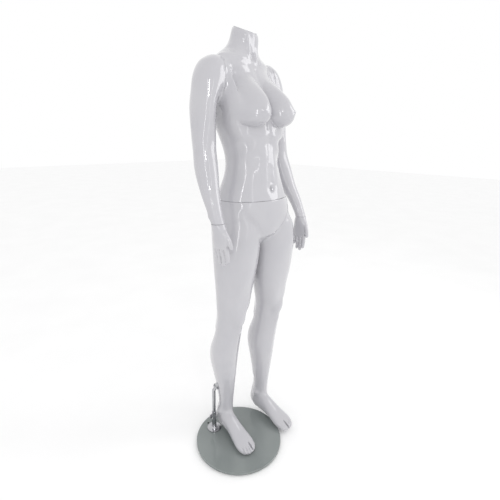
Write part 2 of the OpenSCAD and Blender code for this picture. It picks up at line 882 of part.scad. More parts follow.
module torso_shoulder_plate_right() { torso_shoulder_plate(right); }
module torso_shoulder_plate_left() { torso_shoulder_plate(left); }
module shoulder_socket_right() { shoulder_socket(right); }
module shoulder_socket_left() { shoulder_socket(left); }
module shoulder_insert_right() { shoulder_insert(right); }
module shoulder_insert_left() { shoulder_insert(left); }
module arm_shell_right() { arm_shell(right); }
module arm_shell_left() { arm_shell(left); }
module arm_plate_right() { arm_plate(right); }
module arm_plate_left() { arm_plate(left); }
module arm_spigot_right() { arm_spigot(right); }
module arm_spigot_left() { arm_spigot(left); }
module wrist_plate_right() { wrist_plate(right); }
module wrist_plate_left() { wrist_plate(left); }
module wrist_socket_right() { wrist_socket(right); }
module wrist_socket_left() { wrist_socket(left); }
module hand_right() { hand(right); }
module hand_left() { hand(left); }
module hand_plate_right() { hand_plate(right); }
module hand_plate_left() { hand_plate(left); }
module wrist_spigot_right() { wrist_spigot(right); }
module wrist_spigot_left() { wrist_spigot(left); }

glass_base();
base_bumpers();
flange_gasket();
rod_flange();
rod_socket();
flange_screws();
under_washer();
under_plate();
thumb_screw();
calf_rod();
calf_ferrule();
calf_tube();
lower_body_shell();
pelvis_waist_plate();
waist_socket();
pelvis_hip_plate();
hip_keyhole_plate();
left_leg_shell();
thigh_plate();
hip_studs();
torso_shell();
torso_waist_plate();
waist_spigot();
waist_screws();
neck_cap();
torso_shoulder_plate_right();
torso_shoulder_plate_left();
shoulder_socket_right();
shoulder_socket_left();
shoulder_insert_right();
shoulder_insert_left();
arm_shell_right();
arm_shell_left();
arm_plate_right();
arm_plate_left();
arm_spigot_right();
arm_spigot_left();
wrist_plate_right();
wrist_plate_left();
wrist_socket_right();
wrist_socket_left();
hand_right();
hand_left();
hand_plate_right();
hand_plate_left();
wrist_spigot_right();
wrist_spigot_left();
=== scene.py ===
"""Looks for the full body mannequin: a gloss white headless figure on a round glass base.

Sculpting works in millimetres from the figure's own origin: +Z up, facing -Y, its right side -X.
"""
import json
import math

import bmesh
import bpy
import numpy as np
from mathutils import Matrix, Vector


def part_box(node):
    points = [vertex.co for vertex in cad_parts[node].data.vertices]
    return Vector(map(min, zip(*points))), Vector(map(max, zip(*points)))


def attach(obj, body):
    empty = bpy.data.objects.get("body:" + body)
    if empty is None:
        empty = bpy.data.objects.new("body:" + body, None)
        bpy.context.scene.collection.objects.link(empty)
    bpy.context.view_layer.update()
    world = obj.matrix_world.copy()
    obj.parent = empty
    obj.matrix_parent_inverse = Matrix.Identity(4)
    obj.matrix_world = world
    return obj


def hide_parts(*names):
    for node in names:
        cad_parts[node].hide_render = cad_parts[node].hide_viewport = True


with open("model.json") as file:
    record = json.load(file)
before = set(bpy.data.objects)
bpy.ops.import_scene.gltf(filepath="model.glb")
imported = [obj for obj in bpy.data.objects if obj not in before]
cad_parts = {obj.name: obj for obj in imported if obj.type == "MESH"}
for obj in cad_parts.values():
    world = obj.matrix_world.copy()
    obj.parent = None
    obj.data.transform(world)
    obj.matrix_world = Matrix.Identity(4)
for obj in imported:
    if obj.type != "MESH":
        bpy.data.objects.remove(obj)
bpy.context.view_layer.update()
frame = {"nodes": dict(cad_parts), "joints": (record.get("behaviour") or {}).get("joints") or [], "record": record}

joints = {j["name"]: j for j in frame["joints"]}

# ---------------------------------------------------------------- driving sizes, metres
GLASS_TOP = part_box("glass_base")[1].z
# The figure's own origin, on the glass
FIGURE = np.array((0.082, 0.047, GLASS_TOP))
# Voxels that the body and the hands are skinned with
COARSE = 0.006
HAND_VOXEL = 0.0014
# Smoothing passes on a new skin
BODY_PASSES = 22
ARM_PASSES = 14
HAND_PASSES = 8
# Half the gap at a seam, and how far from a seam's plane the rim of a CAD shell may lie
SEAM_GAP = 0.0003
SEAM_REACH = 0.00045
# Radius and half length of the hole that the calf rod goes up into
ROD_HOLE = 0.0142
ROD_HOLE_HALF = 0.06
# Chamfer at a seam, the width of the rim inside it and how far the rim then turns in
SEAM_EDGE = 0.0007
RIM = 0.0075
RIM_DEPTH = 0.006

# Seam planes, millimetres in the figure's own frame
WAIST_Z = 968
HIP_POINT = (4, 0, 826)
HIP_TILT = math.radians(40)
ARMPIT_Z = 1262
ARM_CUT_Z = 1254
NECK_POINT = (0, 18, 1490)
NECK_TILT = math.radians(21)
WRIST_Z = {"right": 916, "left": 872}
SIDES = {"right": -1, "left": 1}


# ---------------------------------------------------------------- mesh tools
def to_figure(co):
    return (co - FIGURE) * 1000


def from_figure(mm):
    return np.asarray(mm, float) / 1000 + FIGURE


def coords(mesh):
    co = np.empty(len(mesh.vertices) * 3, np.float32)
    mesh.vertices.foreach_get("co", co)
    return co.reshape(-1, 3).astype(float)


def normals(mesh):
    no = np.empty(len(mesh.vertices) * 3, np.float32)
    mesh.vertices.foreach_get("normal", no)
    return no.reshape(-1, 3).astype(float)


def set_coords(mesh, co):
    mesh.vertices.foreach_set("co", np.asarray(co, np.float32).ravel())
    mesh.update()


def edges_of(mesh):
    ed = np.empty(len(mesh.edges) * 2, np.int32)
    mesh.edges.foreach_get("vertices", ed)
    return ed.reshape(-1, 2)


def link(name, mesh):
    obj = bpy.data.objects.new(name, mesh)
    bpy.context.scene.collection.objects.link(obj)
    return obj


def baked(obj, kind, **settings):
    """Applies one modifier to an object's mesh."""
    mod = obj.modifiers.new(kind, kind)
    for key, value in settings.items():
        setattr(mod, key, value)
    graph = bpy.context.evaluated_depsgraph_get()
    mesh = bpy.data.meshes.new_from_object(obj.evaluated_get(graph))
    obj.modifiers.clear()
    old = obj.data
    obj.data = mesh
    bpy.data.meshes.remove(old)
    return obj


def islands(bm):
    left = set(bm.verts)
    groups = []
    while left:
        group = []
        front = [left.pop()]
        while front:
            vert = front.pop()
            group.append(vert)
            for e in vert.link_edges:
                other = e.other_vert(vert)
                if other in left:
                    left.remove(other)
                    front.append(other)
        groups.append(group)
    return groups


def reach(verts):
    co = np.array([v.co for v in verts])
    return np.ptp(co, axis=0).sum()


def close_holes(bm):
    rim = [e for e in bm.edges if e.is_boundary]
    made = bmesh.ops.holes_fill(bm, edges=rim, sides=0)["faces"]
    bmesh.ops.triangulate(bm, faces=made)


def outer_skin(node, *clips, shift=(0, 0, 0)):
    """The outside of a hollow CAD shell as one closed form, optionally cut back and moved.

    The rims on the shell's seams are dropped, which frees its inside from its outside. A clip is
    a point and the way to keep. All is in figure mm.
    """
    bm = bmesh.new()
    bm.from_mesh(frame["nodes"][node].data)
    bmesh.ops.remove_doubles(bm, verts=bm.verts, dist=1e-6)
    on_seam = set()
    for point, way in SEAMS[node]:
        point, way = Vector(from_figure(point)), Vector(way).normalized()
        near = {v for v in bm.verts if abs((v.co - point).dot(way)) < SEAM_REACH}
        on_seam |= {f for f in bm.faces if all(v in near for v in f.verts)}
    if node == "lower_body_shell":
        on_seam |= {f for f in bm.faces if all(in_rod_hole(v.co) for v in f.verts)}
    bmesh.ops.delete(bm, geom=list(on_seam), context="FACES")
    groups = islands(bm)
    keep = max(groups, key=reach)
    bmesh.ops.delete(bm, geom=[v for g in groups if g is not keep for v in g], context="VERTS")
    close_holes(bm)
    for point, way in clips:
        geom = bm.verts[:] + bm.edges[:] + bm.faces[:]
        bmesh.ops.bisect_plane(
            bm, geom=geom, plane_co=from_figure(point), plane_no=way, clear_inner=True
        )
        close_holes(bm)
    bmesh.ops.translate(bm, verts=bm.verts, vec=Vector(shift) / 1000)
    return bm


def in_rod_hole(co):
    """True for the walls of the hole that the calf rod goes up into."""
    axis = Vector(joints["figure_lift"]["axis"])
    middle = sum(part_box("calf_ferrule"), Vector()) / 2
    away = co - middle
    along = away.dot(axis)
    return abs(along) < ROD_HOLE_HALF and (away - axis * along).length < ROD_HOLE


def joined(name, parts):
    """One object from several bmeshes."""
    whole = bmesh.new()
    for part in parts:
        scrap = bpy.data.meshes.new("scrap")
        part.to_mesh(scrap)
        part.free()
        whole.from_mesh(scrap)
        bpy.data.meshes.remove(scrap)
    mesh = bpy.data.meshes.new(name)
    whole.to_mesh(mesh)
    whole.free()
    return link(name, mesh)


def smoothed(co, edges, passes, weight=1.0):
    """Rounds a surface off and then puts back the size that rounding took from it."""
    a, b = edges.T
    count = np.bincount(a, minlength=len(co)) + np.bincount(b, minlength=len(co))
    count = np.maximum(count, 1)[:, None]

    def mean(field):
        total = np.empty_like(field)
        for k in range(3):
            total[:, k] = np.bincount(a, field[b, k], len(co))
            total[:, k] += np.bincount(b, field[a, k], len(co))
        return total / count

    soft = co.copy()
    for _ in range(passes):
        soft = 0.5 * soft + 0.5 * mean(soft)
    lost = co - soft
    for _ in range(passes):
        lost = 0.5 * lost + 0.5 * mean(lost)
    return co + (soft + lost - co) * weight


def relax(obj, passes, weight=1.0):
    mesh = obj.data
    set_coords(mesh, smoothed(coords(mesh), edges_of(mesh), passes, weight))


# ---------------------------------------------------------------- brushes
class Clay:
    """The points of one piece in figure mm, with tools that push them about."""

    def __init__(self, obj):
        self.obj = obj
        self.read()

    def read(self):
        self.p = to_figure(coords(self.obj.data))
        self.n = normals(self.obj.data)

    def write(self):
        set_coords(self.obj.data, from_figure(self.p))
        self.read()

    def facing(self, way):
        """1 where the surface faces a way, 0 where it faces off it."""
        way = np.asarray(way, float)
        dot = self.n @ (way / np.linalg.norm(way))
        return np.clip(dot * 2 + 0.2, 0, 1)

    def bump(self, centre, radii, amount, way=None, face=None, power=1.0):
        """Pushes a soft round spot along the normals, or along a way."""
        q = (((self.p - centre) / radii) ** 2).sum(1)
        near = q < 7
        w = np.exp(-q[near] ** power)
        if face is not None:
            w = w * self.facing(face)[near]
        move = self.n[near] if way is None else np.asarray(way, float)
        self.p[near] += move * (w * amount)[:, None]

    def ridge(self, path, width, amount, face=None, power=1.0):
        """Raises a rib, or sinks a groove, along a path of points."""
        best = np.full(len(self.p), 1e9)
        for start, end in zip(path[:-1], path[1:]):
            start, end = np.array(start, float), np.array(end, float)
            along = end - start
            t = np.clip((self.p - start) @ along / (along @ along), 0, 1)
            gap = np.linalg.norm(self.p - start - t[:, None] * along, axis=1)
            best = np.minimum(best, gap)
        q = (best / width) ** 2
        w = np.where(q < 7, np.exp(-q ** power), 0)
        if face is not None:
            w = w * self.facing(face)
        self.p += self.n * (w * amount)[:, None]


FRONT = (0, -1, 0)
BACK = (0, 1, 0)

# The chest without its breasts: the sternum's place at each height
CHEST_Z = (1130, 1170, 1210, 1250, 1290, 1330, 1362, 1386)
CHEST_Y = (-86, -86, -84, -79, -66, -46, -28, -17)
CHEST_HALF = 138
BREAST = {"right": (-68, 1247), "left": (62, 1247)}
BREAST_REACH = 58
BREAST_HALF = 61
BREAST_UP = 112
BREAST_DOWN = 47


def breast_height(x, z, side):
    cx, cz = BREAST[side]
    # The form leans outwards as it drops from the collar
    cx = cx - SIDES[side] * 0.16 * np.clip(z - cz, 0, None)
    tall = np.where(z > cz, BREAST_UP, BREAST_DOWN)
    q = ((x - cx) / BREAST_HALF) ** 2 + ((z - cz) / tall) ** 2
    inside = np.clip(1 - q, 0, 1)
    power = np.where(z > cz, 0.78 + 0.75 * np.clip((z - cz) / BREAST_UP, 0, 1), 0.78)
    return BREAST_REACH * inside ** power


def model_chest(clay):
    """Lays the chest's front on a smooth wall and two full breasts."""
    x, y, z = clay.p.T
    wall = np.interp(z, CHEST_Z, CHEST_Y)
    turn = np.clip(np.abs((x + 2) / CHEST_HALF), 0, 0.999)
    curve = 1 - (1 - turn ** 2.3) ** (1 / 2.3)
    wall = wall + 92 * curve - 0.07 * x
    lift = np.maximum(breast_height(x, z, "right"), breast_height(x, z, "left"))
    target = wall - lift
    fade = np.clip((1385 - z) / 50, 0, 1) * np.clip((z - 1150) / 30, 0, 1)
    fade *= np.clip((118 - np.abs(x + 2)) / 22, 0, 1)
    fade = fade * fade * (3 - 2 * fade)
    front = (y < 5) & (clay.n[:, 1] < 0.35)
    w = np.where(front, fade, 0)
    clay.p[:, 1] += (target - y) * w
    # The lower poles hang a little over the ribs
    hang = w * lift / BREAST_REACH * np.clip((1262 - z) / 40, 0, 1)
    clay.p[:, 2] -= 7 * hang


def model_torso(clay):
    model_chest(clay)
    clay.write()
    for side, s in SIDES.items():
        cx, cz = BREAST[side]
        tip_y = np.interp(cz, CHEST_Z, CHEST_Y) - BREAST_REACH
        tip = (cx + s * 6, tip_y + 8, cz + 2)
        clay.bump(tip, (15, 14, 15), 2.5, face=FRONT)
        clay.bump(tip, (5.5, 9, 5.5), 4.5, face=FRONT)
        # Collar bone, with the hollow above it and the pit below its outer half
        collar = [(s * 14, 0, 1398), (s * 50, -14, 1402), (s * 88, 0, 1398), (s * 118, 12, 1402)]
        clay.ridge(collar, 10, 3.6, face=(0, -1, 0.4))
        clay.ridge([(s * 34, 12, 1424), (s * 72, 10, 1424)], 14, -5, face=(0, -1, 0.6))
        clay.bump((s * 88, -14, 1370), (26, 30, 22), -2.5, face=FRONT)
        # The neck's front muscle runs from the collar notch up to behind the ear
        clay.ridge([(s * 12, -12, 1404), (s * 26, -14, 1440), (s * 40, -6, 1490)], 10, 4, face=FRONT)
        # Rib edge and the flank below it
        clay.ridge([(s * 16, -84, 1178), (s * 48, -82, 1150), (s * 84, -60, 1118)], 17, 2.6, face=FRONT)
        clay.ridge([(s * 20, -86, 1152), (s * 46, -84, 1120), (s * 76, -66, 1088)], 20, -2, face=FRONT)
        # Groove at the outer edge of the long belly muscle
        groove = [(s * 58 + 8, -76, 1100), (s * 60 + 9, -84, 1030), (s * 50 + 11, -96, 960)]
        clay.ridge(groove, 19, -2, face=FRONT)
        # Shoulder blade and the muscle beside the spine
        clay.bump((s * 66 - 6, 112, 1300), (38, 30, 54), 9, face=BACK)
        clay.bump((s * 40 - 6, 112, 1276), (18, 30, 60), -3, face=BACK)
        clay.bump((s * 30 + 4, 92, 1080), (20, 30, 110), 4, face=BACK)
        clay.bump((s * 34 + 9, 92, 985), (9, 20, 9), -3, face=BACK)
        # Armpit hollow at the side of the chest and the fold in front of it
        clay.bump((s * 132, 20, 1236), (16, 26, 26), -5)
        clay.ridge([(s * 118, -16, 1262), (s * 108, -34, 1320)], 19, 2.5, face=FRONT)
    # Collar notch, breastbone groove, belly line and navel
    clay.bump((-5, -14, 1410), (12, 20, 12), -8, face=FRONT)
    clay.ridge([(-3, -30, 1372), (-2, -70, 1280), (-1, -86, 1200)], 10, -2.5, face=FRONT)
    clay.ridge([(3, -86, 1176), (8, -84, 1090), (11, -98, 1012)], 12, -2.6, face=FRONT)
    clay.bump((11, -96, 1006), (19, 20, 22), -3, face=FRONT)
    clay.bump((11, -96, 1004), (5, 20, 8), -10, face=FRONT)
    clay.bump((11, -96, 1018), (8, 20, 5), 2.2, face=FRONT)
    clay.bump((11, -95, 955), (62, 30, 40), 5, face=FRONT)
    # Spine groove
    spine = [(-6, 96, 1400), (-5, 110, 1300), (2, 84, 1150), (8, 74, 1060), (11, 90, 980)]
    clay.ridge(spine, 14, -6, face=BACK)


def model_hips(clay):
    # Pubis, the creases beside it and the belly above
    clay.bump((17, -88, 872), (30, 26, 34), 5, face=FRONT)
    clay.bump((11, -95, 955), (62, 30, 40), 5, face=FRONT)
    clay.bump((11, -96, 1006), (19, 20, 22), -3, face=FRONT)
    clay.ridge([(-16, -70, 824), (-52, -88, 880), (-100, -76, 930)], 12, -5, face=FRONT)
    clay.ridge([(30, -84, 836), (78, -92, 892), (120, -70, 940)], 12, -3, face=FRONT)
    for s in (-1, 1):
        clay.bump((15 + s * 104, -62, 944), (20, 26, 24), 4.5, face=FRONT)
        # Buttock, its fold and the hollow at the hip's side
        clay.bump((16 + s * 66, 84, 872), (52, 44, 56), 15, face=BACK)
        clay.ridge([(16 + s * 16, 70, 812), (16 + s * 84, 82, 806)], 13, -8, face=BACK)
        clay.bump((16 + s * 140, 30, 880), (26, 30, 34), -5)
        clay.bump((s * 34 + 9, 92, 985), (9, 20, 9), -3, face=BACK)
    clay.ridge([(13, 100, 950), (16, 118, 890), (18, 110, 826)], 10, -14, face=BACK)
    clay.ridge([(11, 90, 1000), (13, 96, 955)], 14, -6, face=BACK)


# Middle of each leg at the ankle, calf, knee and thigh, figure mm
LEG = {
    "right": {
        "ankle": (-72, 36, 92),
        "calf": (-78, 24, 330),
        "knee": (-77, 11, 515),
        "thigh": (-68, 0, 650),
    },
    "left": {
        "ankle": (109, 0, 92),
        "calf": (114, -10, 330),
        "knee": (114, -18, 515),
        "thigh": (108, -28, 650),
    },
}


def model_leg(clay, side):
    s = SIDES[side]
    leg = {k: np.array(v, float) for k, v in LEG[side].items()}
    knee = leg["knee"]
    clay.bump(knee + (0, -52, 12), (25, 26, 28), 9, face=FRONT, power=1.5)
    clay.bump(knee + (0, -50, -34), (15, 26, 24), 3.5, face=FRONT)
    clay.ridge([knee + (0, -50, -48), knee + (s * 2, -40, -200)], 13, 3, face=FRONT)
    for k in (-1, 1):
        inner = k == -s
        clay.bump(knee + (k * 32, -36, 0), (14, 24, 30), -5.5, face=FRONT)
        clay.bump(knee + (k * 26, -46, 62), (22, 26, 34), 4.5, face=FRONT)
        clay.ridge([knee + (k * 26, 40, 40), knee + (k * 27, 40, -34)], 11, 4.5, face=BACK)
        clay.bump(leg["calf"] + (k * 22, 56, 20 + 14 * inner), (22, 34, 62), 5.5, face=BACK)
        knuckle = (k * 33, 2 + 8 * (not inner), 2 if inner else -6)
        clay.bump(leg["ankle"] + knuckle, (12, 13, 14), 7.5)
        clay.ridge([leg["ankle"] + (k * 19, 26, 20), leg["ankle"] + (k * 17, 24, 70)], 11, -5)
    clay.bump(knee + (0, 46, 4), (16, 30, 46), -5, face=BACK)
    clay.bump(knee + (0, -54, 120), (30, 30, 46), -3, face=FRONT)
    clay.bump(leg["thigh"] + (-s * 30, -50, -60), (26, 34, 50), 5, face=FRONT)
    clay.bump(leg["thigh"] + (s * 22, -58, 10), (34, 30, 90), 3.5, face=FRONT)
    clay.ridge([leg["calf"] + (0, 60, -40), leg["calf"] + (0, 62, 60)], 8, -2.5, face=BACK)


HEEL = {"right": np.array((-70, 74, 0)), "left": np.array((106, 35, 0))}
TOE = {"right": np.array((-113, -145, 0)), "left": np.array((88, -184, 0))}


def foot_frame(side):
    """Along the foot from heel to toe, and across it towards the big toe."""
    along = (TOE[side] - HEEL[side]).astype(float)
    length = np.linalg.norm(along)
    along /= length
    across = np.cross(along, (0, 0, 1)) * SIDES[side]
    return along, across, length


def refine(obj, picked, cuts=1):
    """Splits the faces whose middles are picked, so that finer detail can be worked in."""
    bm = bmesh.new()
    bm.from_mesh(obj.data)
    middles = to_figure(np.array([f.calc_center_median() for f in bm.faces]))
    chosen = np.nonzero(picked(middles))[0]
    bm.faces.ensure_lookup_table()
    edges = {e for i in chosen for e in bm.faces[i].edges}
    bmesh.ops.subdivide_edges(bm, edges=list(edges), cuts=cuts, use_grid_fill=True)
    bm.to_mesh(obj.data)
    bm.free()


def model_toes(clay, side):
    along, across, length = foot_frame(side)
    for back, low in ((62, 60), (56, 44)):
        refine(clay.obj, lambda m: ((m - HEEL[side]) @ along > length - back) & (m[:, 2] < low))
    clay.read()
    local = clay.p - HEEL[side]
    t = local @ along - length
    v = local @ across
    z = clay.p[:, 2]
    toes = (z < 60) & (t > -90) & (np.abs(v) < 60)
    move = np.zeros(len(t))

    def slit(v0, lean, start, width, depth):
        """The depth of the gap beside a toe, which opens towards the tip."""
        middle = v0 + lean * (t - start)
        open_up = np.clip((t - start) / 14, 0, 1)
        q = ((v - middle) / (width * (0.45 + 0.55 * np.clip((t - start) / 30, 0, 1)))) ** 2
        return -depth * open_up * np.exp(-q ** 1.4)

    for v0, lean, start, width, depth in (
        (6.5, 0.02, -36, 3.2, 15),
        (-5, -0.03, -26, 2.0, 2.6),
        (-15, -0.1, -30, 2.0, 2.6),
        (-24, -0.2, -36, 2.0, 2.6),
    ):
        move += slit(v0, lean, start, width, depth) * (clay.n[:, 2] > -0.5)
    clay.p += clay.n * np.where(toes, move, 0)[:, None]
    clay.write()
    # The arch lifts off the glass, the ball and the toe pads stand on it
    local = clay.p - HEEL[side]
    t = local @ along
    v = local @ across
    lift = np.exp(-((t - 96) / 38) ** 2) * np.clip((v + 12) / 34, 0, 1) * (clay.p[:, 2] < 26)
    clay.p[:, 2] += 9 * lift * (clay.n[:, 2] < 0)
    clay.write()


def model_arm(clay, side):
    s = SIDES[side]
    p = clay.p
    base = WRIST_Z[side]

    def middle(z):
        """The arm's own middle at a height."""
        band = p[np.abs(p[:, 2] - z) < 8]
        x, y = (band[:, :2].min(0) + band[:, :2].max(0)) / 2
        return np.array([x, y, z])

    elbow = middle(base + 225)
    clay.bump(elbow + (0, 40, 0), (16, 18, 22), 4.5, face=BACK)
    clay.bump(elbow + (-s * 34, 16, 8), (12, 16, 18), 3.5)
    clay.bump(elbow + (0, -38, 4), (22, 22, 30), -3, face=FRONT)
    clay.bump(elbow + (s * 26, -14, -46), (22, 28, 46), 3.5)
    clay.bump(elbow + (-s * 24, -10, -56), (22, 28, 50), 2.5)
    upper = middle(base + 320)
    clay.bump(upper + (0, -44, 0), (26, 24, 56), 3.5, face=FRONT)
    clay.bump(upper + (0, 44, 14), (26, 24, 60), 3.5, face=BACK)
    clay.ridge([upper + (s * 44, 2, 10), upper + (s * 38, 0, -40)], 10, -2.5)
    wrist = middle(base + 14)
    clay.bump(wrist + (s * 16, 18, 4), (9, 9, 11), 3.2)
    clay.ridge([wrist + (0, -22, 6), wrist + (0, -26, 60)], 5, 1.0, face=FRONT)


# ---------------------------------------------------------------- cutting into pieces
def cut(obj, wedge):
    """Removes what lies inside every plane of a wedge and turns the edge in to a narrow rim.

    A plane is a point and the direction that the removed side lies in, figure mm.
    """
    bm = bmesh.new()
    bm.from_mesh(obj.data)
    planes = []
    for point, way in wedge:
        way = Vector(way).normalized()
        planes.append((Vector(from_figure(point)) - way * (SEAM_GAP + SEAM_EDGE), way))
    for point, way in planes:
        geom = bm.verts[:] + bm.edges[:] + bm.faces[:]
        bmesh.ops.bisect_plane(bm, geom=geom, dist=1e-6, plane_co=point, plane_no=way)
    before = {e for e in bm.edges if e.is_boundary}

    def cut_away(face):
        middle = face.calc_center_median()
        return all((middle - point).dot(way) > 0 for point, way in planes)

    gone = [f for f in bm.faces if cut_away(f)]
    bmesh.ops.delete(bm, geom=gone, context="FACES")
    loose = [v for v in bm.verts if not v.link_faces]
    bmesh.ops.delete(bm, geom=loose, context="VERTS")
    bm.normal_update()
    rim = [e for e in bm.edges if e.is_boundary and e not in before]

    def on_planes(v):
        return [way for point, way in planes if abs((v.co - point).dot(way)) < 2e-5]

    normal = {v: v.normal.copy() for e in rim for v in e.verts}
    ways = {v: on_planes(v) for v in normal}
    inward, toward = {}, {}
    for v, n in normal.items():
        flat = n.copy()
        out = Vector((0, 0, 0))
        for way in ways[v]:
            flat -= way * flat.dot(way)
            out += way
        inward[v] = -(flat.normalized() if flat.length > 1e-4 else n)
        toward[v] = out
    for shift_in, shift_out in ((SEAM_EDGE, SEAM_EDGE), (RIM, 0), (0, -RIM_DEPTH)):
        grown = bmesh.ops.extrude_edge_only(bm, edges=rim)["geom"]
        new_rim = [g for g in grown if isinstance(g, bmesh.types.BMEdge) and g.is_boundary]
        fresh = {g for g in grown if isinstance(g, bmesh.types.BMVert)}
        old_of = {}
        for v in fresh:
            for e in v.link_edges:
                other = e.other_vert(v)
                if other not in fresh:
                    old_of[v] = other
        for v, old in old_of.items():
            inward[v], toward[v] = inward[old], toward[old]
            v.co = old.co + inward[v] * shift_in + toward[v] * shift_out
        rim = new_rim
    bmesh.ops.recalc_face_normals(bm, faces=bm.faces)
    bm.to_mesh(obj.data)
    bm.free()
    return obj


def shade(obj, angle=35):
    mesh = obj.data
    mesh.polygons.foreach_set("use_smooth", [True] * len(mesh.polygons))
    mesh.set_sharp_from_angle(angle=math.radians(angle))
    mesh.update()


def slope_way(side):
    """Out of the body, square to a shoulder seam."""
    axis = Vector(joints[side + "_arm_turn"]["axis"])
    return axis if axis.x * SIDES[side] > 0 else -axis


def shoulder_point(side):
    return to_figure(np.array(joints[side + "_arm_turn"]["pos_m"]))


UP, DOWN = (0, 0, 1), (0, 0, -1)
hip_up = (-math.sin(HIP_TILT), 0, math.cos(HIP_TILT))
hip_down = tuple(-c for c in hip_up)
neck_up = (0, -math.sin(NECK_TILT), math.cos(NECK_TILT))
WAIST = (0, 0, WAIST_Z)


def coarse_form(name, parts, passes=BODY_PASSES, hold=None):
    """One closed, smooth skin around the parts, at half the coarse voxel."""
    obj = joined(name, parts)
    baked(obj, "REMESH", mode="VOXEL", voxel_size=COARSE)
    weight = 1.0
    if hold is not None:
        weight = 1 - hold(to_figure(coords(obj.data)))[:, None]
    relax(obj, passes, weight)
    baked(obj, "SUBSURF", levels=1, render_levels=1)
    return obj


# Neighbours are moved on to a shell by this much, so that the skin around them all has no crack
OVERLAP = 1.6


def moved(way, amount=OVERLAP):
    return tuple(Vector(way).normalized() * amount)


HIP_SIDE = ((HIP_POINT[0], 0, 0), (1, 0, 0))
SHOULDERS = [(shoulder_point(side), slope_way(side)) for side in SIDES]
SEAMS = {
    "torso_shell": [(WAIST, UP), (NECK_POINT, neck_up), *SHOULDERS],
    "lower_body_shell": [(WAIST, UP), (HIP_POINT, hip_up), HIP_SIDE],
    "left_leg_shell": [(HIP_POINT, hip_up), HIP_SIDE],
}
for side, seam in zip(SIDES, SHOULDERS):
    SEAMS["arm_shell_" + side] = [seam, ((0, 0, ARM_CUT_Z), UP), ((0, 0, WRIST_Z[side]), UP)]
    SEAMS["hand_" + side] = []


def make_torso():
    near_waist = ((0, 0, WAIST_Z - 80), UP)
    parts = [
        outer_skin("torso_shell"),
        outer_skin("lower_body_shell", near_waist, shift=moved(UP)),
        outer_skin("left_leg_shell", near_waist, shift=moved(UP)),
    ]
    for side in SIDES:
        inward = moved(-slope_way(side))
        parts.append(outer_skin("arm_shell_" + side, ((0, 0, ARMPIT_Z), UP), shift=inward))
    obj = coarse_form("torso", parts)
    clay = Clay(obj)
    refine(obj, lambda m: (m[:, 2] > 1190) & (m[:, 2] < 1330) & (m[:, 1] < -40))
    refine(obj, lambda m: (np.abs(m[:, 0] - 11) < 18) & (np.abs(m[:, 2] - 1006) < 24) & (m[:, 1] < -60))
    clay.read()
    model_torso(clay)
    clay.write()
    relax(obj, 3)
    cut(obj, [(WAIST, DOWN)])
    cut(obj, [(NECK_POINT, neck_up)])
    for side in SIDES:
        cut(obj, [(shoulder_point(side), slope_way(side)), ((0, 0, ARMPIT_Z), UP)])
    return obj


def hold_feet(m):
    """Feet keep more of their modelled shape than legs do."""
    return 0.8 * np.clip((110 - m[:, 2]) / 50, 0, 1)


def make_lower_body():
    parts = [
        outer_skin("lower_body_shell"),
        outer_skin("torso_shell", ((0, 0, WAIST_Z + 80), DOWN), shift=moved(DOWN)),
        outer_skin("left_leg_shell", ((0, 0, 800), UP), shift=moved(hip_up, 2)),
    ]
    obj = coarse_form("lower_body", parts, hold=hold_feet)
    clay = Clay(obj)
    model_hips(clay)
    clay.write()
    model_leg(clay, "right")
    clay.write()
    model_toes(clay, "right")
    cut(obj, [(WAIST, UP)])
    cut(obj, [(HIP_POINT, hip_down), HIP_SIDE])
    return obj


def make_left_leg():
    parts = [
        outer_skin("left_leg_shell"),
        outer_skin("lower_body_shell", HIP_SIDE, (HIP_POINT, hip_up), shift=moved(hip_down)),
        outer_skin("torso_shell", HIP_SIDE, ((0, 0, WAIST_Z + 80), DOWN), shift=moved(hip_down, 3)),
    ]
    obj = coarse_form("left_leg", parts, hold=hold_feet)
    clay = Clay(obj)
    model_hips(clay)
    clay.write()
    model_leg(clay, "left")
    clay.write()
    model_toes(clay, "left")
    cut(obj, [(HIP_POINT, hip_up)])
    return obj


def make_arm(side):
    s = SIDES[side]
    above, beyond = ((0, 0, ARMPIT_Z), UP), ((s * 60, 0, 0), (s, 0, 0))
    parts = [
        outer_skin("arm_shell_" + side),
        outer_skin("torso_shell", above, beyond, shift=moved(slope_way(side))),
        outer_skin("hand_" + side, ((0, 0, WRIST_Z[side] - 40), UP), shift=moved(UP)),
    ]
    obj = coarse_form("arm_" + side, parts, passes=ARM_PASSES)
    clay = Clay(obj)
    model_arm(clay, side)
    clay.write()
    inward = [-c for c in slope_way(side)]
    cut(obj, [(shoulder_point(side), inward), ((0, 0, ARM_CUT_Z), UP)])
    cut(obj, [((0, 0, WRIST_Z[side]), DOWN)])
    return obj


def make_hand(side):
    parts = [
        outer_skin("hand_" + side),
        outer_skin("arm_shell_" + side, ((0, 0, WRIST_Z[side] + 40), DOWN), shift=moved(DOWN)),
    ]
    obj = joined("hand_" + side + "_skin", parts)
    baked(obj, "REMESH", mode="VOXEL", voxel_size=HAND_VOXEL)
    relax(obj, HAND_PASSES)
    cut(obj, [((0, 0, WRIST_Z[side]), UP)])
    return obj


# ---------------------------------------------------------------- materials
def new_material(name):
    mat = bpy.data.materials.new(name)
    mat.use_nodes = True
    nodes, links = mat.node_tree.nodes, mat.node_tree.links
    return mat, nodes, links, nodes["Principled BSDF"]


def noise(nodes, links, scale, detail=2, stretch=None):
    place = nodes.new("ShaderNodeTexCoord")
    tex = nodes.new("ShaderNodeTexNoise")
    tex.inputs["Scale"].default_value = scale
    tex.inputs["Detail"].default_value = detail
    if stretch:
        turn = nodes.new("ShaderNodeMapping")
        turn.inputs["Scale"].default_value = stretch
        links.new(place.outputs["Object"], turn.inputs["Vector"])
        links.new(turn.outputs["Vector"], tex.inputs["Vector"])
    else:
        links.new(place.outputs["Object"], tex.inputs["Vector"])
    return tex.outputs["Fac"]


